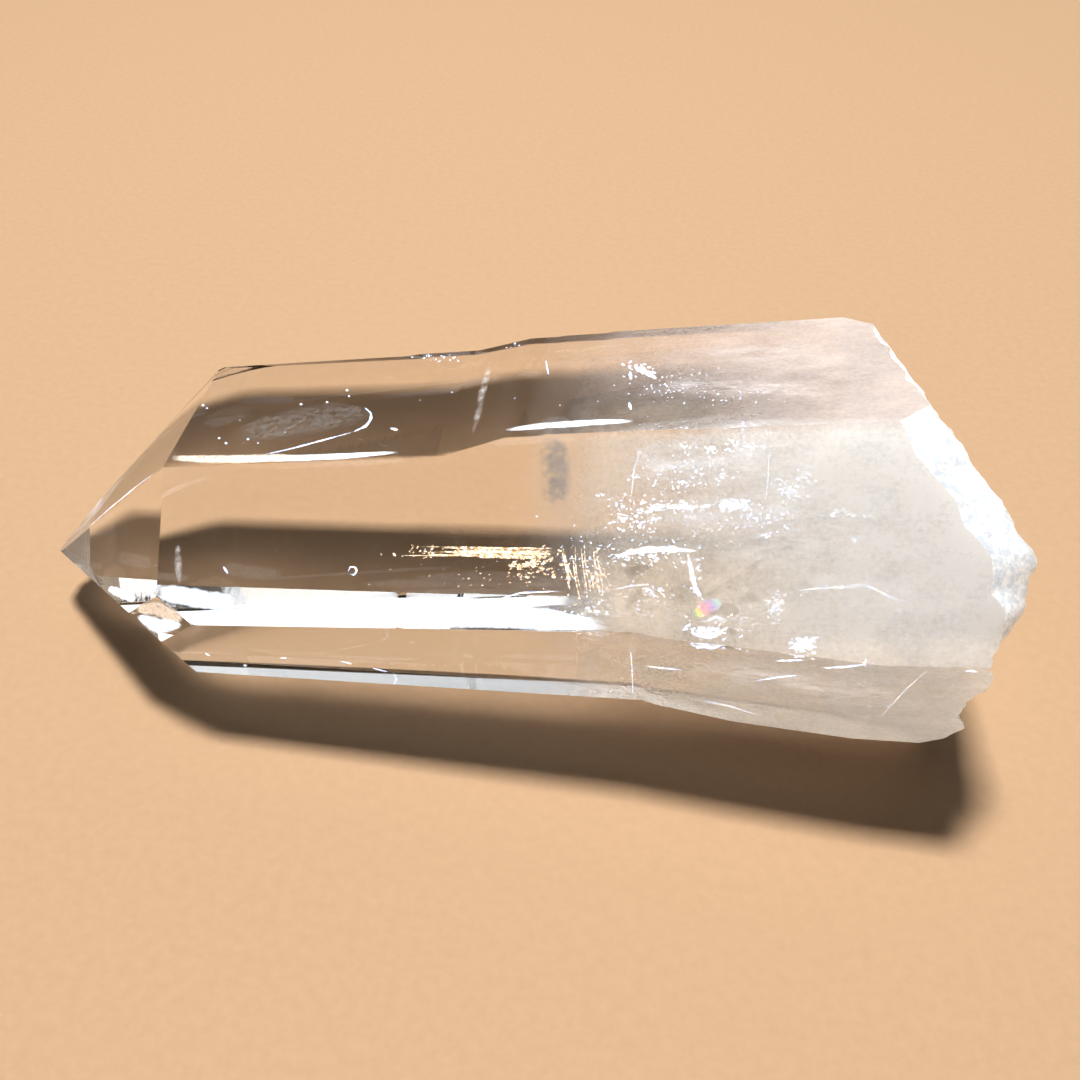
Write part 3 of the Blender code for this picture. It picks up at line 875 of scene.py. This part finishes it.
def quartz_finish():
    """Clear quartz: see-through, with fine growth lines, and a milky veil that thickens to the base."""
    f = Finish("clear_quartz")
    length = f.read("ShaderNodeSeparateXYZ", 0, None, {"Vector": f.place()}) * 10.0 + 0.5
    lines = f.cloud(1.0, 3.0, 0.5, stretch=(1500.0, 70.0, 70.0))
    swell = f.cloud(70.0, 2.0, 0.4)
    relief = f.node("ShaderNodeBump", None, {
        "Strength": 1.0, "Distance": 0.000003, "Height": lines * 2.0 + swell * 6.0,
    })
    glass = clear(f, 0.0, relief)
    across = f.read("ShaderNodeVectorMath", "Value", {"operation": "DOT_PRODUCT"}, {
        0: f.place(), 1: tuple(ACROSS_WAY),
    }) - float(APEX_PLACE @ ACROSS_WAY)
    veil = f.cloud(110.0, 5.0, 0.55)
    wisp = f.cloud(1.0, 5.0, 0.6, stretch=(300.0, 520.0, 520.0), shift=(0.3, 0.1, 0.7))
    rise = f.ramp(
        length, (0.53, 0.0), (0.59, 0.14), (0.61, 0.29), (0.68, 0.42), (0.76, 0.64), (0.85, 0.82),
        (0.92, 0.92),
    )
    below = ((LOWER_RIDGE - across) / 0.003).clip()
    above = ((across - UPPER_RIDGE) / 0.0014).clip()
    ridge = above * (1.0 - ((across - (UPPER_RIDGE + 0.0033)) / 0.0030).clip())
    ridge = ridge * f.ramp(length, (0.68, 1.0), (0.79, 0.0))
    threads = f.cloud(1.0, 4.0, 0.7, stretch=(420.0, 4200.0, 4200.0))
    grain = f.cloud(2300.0, 4.0, 0.7)
    clouds = (veil - 0.5) * 0.80 + (wisp - 0.5) * 0.45 + (threads - 0.5) * 0.22 + (grain - 0.5) * 0.60
    share = (rise + clouds * (rise * 2.2).at_most(1.0)) * (1.0 - below * 0.48 - above * 0.22 - ridge * 0.50)
    lift = ((0.0025 - across) / 0.003).clip() * (1.0 - below)
    lift = lift * f.ramp(length, (0.59, 0.0), (0.63, 1.0), (0.69, 1.0), (0.80, 0.15), (0.90, 0.0))
    share = (share + lift * (veil * 1.1 - 0.36)).at_least(0.0).at_most(0.86)
    tone = f.blend(above, (0.68, 0.68, 0.68, 1.0), (0.56, 0.48, 0.45, 1.0))
    tone = f.blend(lift, tone, (0.76, 0.69, 0.60, 1.0))
    # Painted light: a faint glow all over the milk, brighter and warmer on the lower side, standing for light
    # thrown up by the floor.
    glow = f.blend(below, (0.10, 0.098, 0.094, 1.0), (0.48, 0.41, 0.335, 1.0))
    cloudy = milk(f, tone, 0.25, glow, 1.0)
    haze = f.node("ShaderNodeVolumeAbsorption", None, {"Color": (0.90, 0.86, 0.80, 1.0), "Density": 10.0})
    f.tree.links.new(haze.outputs[0], f.out.inputs["Volume"])
    return f.surface(f.node("ShaderNodeMixShader", None, {
        "Fac": share, 1: glass.outputs[0], 2: cloudy.outputs[0],
    }))


def break_finish():
    """Broken quartz: frosted and milky white, with clearer patches and a fine broken relief."""
    f = Finish("broken_quartz")
    frost = f.cloud(260.0, 6.0, 0.6)
    grain = f.cloud(1500.0, 5.0, 0.65)
    relief = f.node("ShaderNodeBump", None, {"Strength": 0.7, "Distance": 0.0002, "Height": grain})
    glass = clear(f, 0.25, relief)
    speckle = f.ramp(f.cloud(1300.0, 5.0, 0.7), (0.42, 0.0), (0.58, 1.0))
    tint = f.blend(speckle, (0.52, 0.59, 0.69, 1.0), (0.84, 0.86, 0.89, 1.0))
    # Painted light: the white of the break glows a little, standing for light that reaches its inner side.
    white = milk(f, tint, 0.4, (1.0, 0.97, 0.93, 1.0), 0.16)
    f.tree.links.new(relief.outputs[0], white.inputs["Normal"])
    share = f.ramp(frost, (0.34, 0.66), (0.60, 0.98))
    return f.surface(f.node("ShaderNodeMixShader", None, {
        "Fac": share, 1: glass.outputs[0], 2: white.outputs[0],
    }))


def thin_white(f, tone, glow, alpha):
    """A thin crack or cloud in quartz, with painted light: it glows in its own tone, standing for the room's
    light that it throws back.
    """
    return f.surface(f.node("ShaderNodeBsdfPrincipled", None, {
        "Base Color": tone, "Roughness": 0.5, "Emission Color": tone, "Emission Strength": glow,
        "Alpha": alpha,
    }))


def flaw_and_glint_finish():
    """Flaws with painted glints: white with a touch of blue here and there, thinner in places, glowing
    strongly as if catching the light.
    """
    f = Finish("flaw_painted_glint")
    cool = f.ramp(f.cloud(900.0, 2.0, 0.5), (0.38, 0.0), (0.54, 1.0))
    tone = f.blend(cool, (1.0, 0.97, 0.94, 1.0), (0.60, 0.74, 1.0, 1.0))
    grain = f.cloud(3200.0, 3.0, 0.6)
    return thin_white(f, tone, 1.4, f.ramp(grain, (0.32, 0.35), (0.58, 1.0)) * f.margin(0.3))


def painted_light_film_finish(name, tone, glow):
    """An even film of painted light: a glowing sheet that stands for a bright reflection or a lit patch
    inside the crystal.
    """
    f = Finish(name)
    fine = f.cloud(2600.0, 4.0, 0.65)
    return thin_white(f, tone, glow, f.ramp(fine, (0.36, 0.42), (0.54, 0.96)) * f.margin(0.42))


def veil_finish():
    """Milky veils: broken clouds drawn out along the crystal, fading to the edges, with a faint painted glow.
    """
    f = Finish("milky_veil")
    puff = f.cloud(1.0, 6.0, 0.65, stretch=(260.0, 700.0, 700.0))
    fine = f.cloud(2600.0, 3.0, 0.6)
    alpha = f.ramp(puff * 0.75 + fine * 0.25, (0.42, 0.0), (0.62, 0.62)) * f.margin(0.9)
    return thin_white(f, (0.86, 0.85, 0.86, 1.0), 0.42, alpha)


def phantom_finish():
    """Grey mist: the outline of an earlier stage of growth, and the leaf-shaped crack, with a faint painted
    glow.
    """
    f = Finish("grey_phantom")
    mist = f.ramp(f.cloud(1400.0, 4.0, 0.6), (0.36, 0.0), (0.65, 0.42))
    return thin_white(f, (0.40, 0.38, 0.37, 1.0), 0.20, mist * f.margin(0.5))


def fibre_finish():
    """Golden fibres: short bright threads across the strip, with dark gaps between them; their brightness is
    a painted glow.
    """
    f = Finish("golden_fibre")
    threads = f.cloud(1.0, 4.0, 0.7, stretch=(2300.0, 3600.0, 3600.0))
    tone = f.ramp(
        threads, (0.38, (0.40, 0.24, 0.12, 1.0)), (0.48, (0.85, 0.62, 0.38, 1.0)),
        (0.57, (1.0, 0.95, 0.86, 1.0)),
    )
    return thin_white(f, tone, 0.85, f.ramp(threads, (0.36, 0.2), (0.58, 0.95)) * f.margin(0.25))


def shade_finish():
    """Cracks that mirror a dark part of the room: brown, thinner in places."""
    f = Finish("shaded_crack")
    grain = f.ramp(f.cloud(2400.0, 3.0, 0.6), (0.32, 0.60), (0.52, 1.0))
    return thin_white(f, (0.055, 0.032, 0.020, 1.0), 0.0, grain * f.margin(0.4))


def rainbow_finish():
    """A crack thin enough to show colours: bands that follow its length and wander with a cloud, with a
    painted glow.
    """
    f = Finish("rainbow_crack")
    wander = f.cloud(1500.0, 2.0, 0.5)
    along = f.read("ShaderNodeSeparateXYZ", 0, None, {"Vector": f.own_place()})
    tone = f.ramp(
        along * 0.8 + wander * 0.5 - 0.12, (0.15, (0.12, 0.55, 0.30, 1.0)), (0.32, (0.95, 0.80, 0.15, 1.0)),
        (0.48, (0.85, 0.25, 0.45, 1.0)), (0.62, (0.35, 0.25, 0.85, 1.0)), (0.80, (0.30, 0.75, 0.80, 1.0)),
    )
    return thin_white(f, tone, 0.8, f.ramp(wander, (0.3, 0.6), (0.6, 0.98)) * f.margin(0.5))


def floor_finish():
    """Warm matt sheet with a faint grain."""
    f = Finish("floor_card")
    tone = f.blend(f.cloud(900.0, 3.0, 0.6), (0.364, 0.250, 0.155, 1.0), (0.420, 0.290, 0.184, 1.0))
    return f.surface(f.node("ShaderNodeBsdfPrincipled", None, {"Base Color": tone, "Roughness": 0.8}))


def lay_floor():
    """Seamless sheet: level under the crystal, then a quarter round up at the back, then straight up."""
    run = np.array([-0.9, -0.4, 0.0, 0.4, 0.9])
    bend = np.radians(np.linspace(9.0, 90.0, 10))
    across = np.concatenate((run, 0.9 + 0.3 * np.sin(bend), [1.2]))
    height = np.concatenate((np.zeros(5), 0.3 * (1.0 - np.cos(bend)), [0.36]))
    side = np.array((-2.2, -0.4, 0.4, 2.2))
    x, y = np.meshgrid(side, across)
    points = np.stack((x, y, np.repeat(height[:, None], 4, axis=1) - 0.00002), axis=-1).reshape(-1, 3)
    start = (np.arange(len(across) - 1)[:, None] * 4 + np.arange(3)).reshape(-1)
    faces = np.stack((start, start + 1, start + 5, start + 4), axis=1)
    mesh = bpy.data.meshes.new("floor")
    mesh.from_pydata(points.tolist(), [], faces.tolist())
    mesh.materials.append(floor_finish())
    mesh.polygons.foreach_set("use_smooth", np.ones(len(faces), bool))
    floor = put_in("floor", mesh)


def towards(elevation, azimuth, distance):
    """Point at a distance from the crystal, by elevation and azimuth (90 is straight behind it)."""
    e, a = math.radians(elevation), math.radians(azimuth)
    level = distance * math.cos(e)
    return (level * math.cos(a), level * math.sin(a), distance * math.sin(e))


def light_room():
    """A soft lamp high behind the crystal, and pale panels above it, behind it and at its sides."""
    centre, cool = (0.0, 0.0, 0.01), (0.93, 0.965, 1.0)
    place_light("key_lamp", towards(81.0, 110.0, 1.2), centre, 0.20, 24.0, (1.0, 0.975, 0.94), 0.16)
    place_light("sky_panel", (0.145, 0.345, 1.25), (0.145, 0.345, 0.0), 0.83, 1.0, cool, 0.26)
    place_light("front_panel", (0.05, -0.22, 1.25), (0.05, -0.22, 0.0), 0.66, 0.75, cool, 0.25)
    place_light("back_panel", towards(37.0, 82.0, 1.3), centre, 1.60, 1.95, (0.90, 0.95, 1.0), 0.35)
    place_light("end_panel", towards(50.0, -27.0, 1.2), centre, 0.20, 0.5, cool, 0.50)
    place_light("side_panel", towards(9.0, 39.0, 1.2), centre, 0.22, 0.20, cool, 0.16)
    world = bpy.data.worlds.new("room")
    world.use_nodes = True
    back = world.node_tree.nodes["Background"]
    back.inputs["Color"].default_value = (1.0, 0.88, 0.72, 1.0)
    back.inputs["Strength"].default_value = 0.015
    scene = bpy.context.scene
    scene.world = world
    scene.view_settings.view_transform = "Standard"
    scene.view_settings.gamma = 0.84
    scene.view_settings.exposure = 0.16
    scene.cycles.max_bounces = 18
    scene.cycles.transmission_bounces = 18
    scene.cycles.transparent_max_bounces = 12
    scene.cycles.use_denoising = True


place_camera()
light_room()
lay_floor()
body = build_crystal()
body.data.materials.append(quartz_finish())
body.data.materials.append(break_finish())
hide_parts("quartz_crystal")
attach(body, "root")
build_inside()
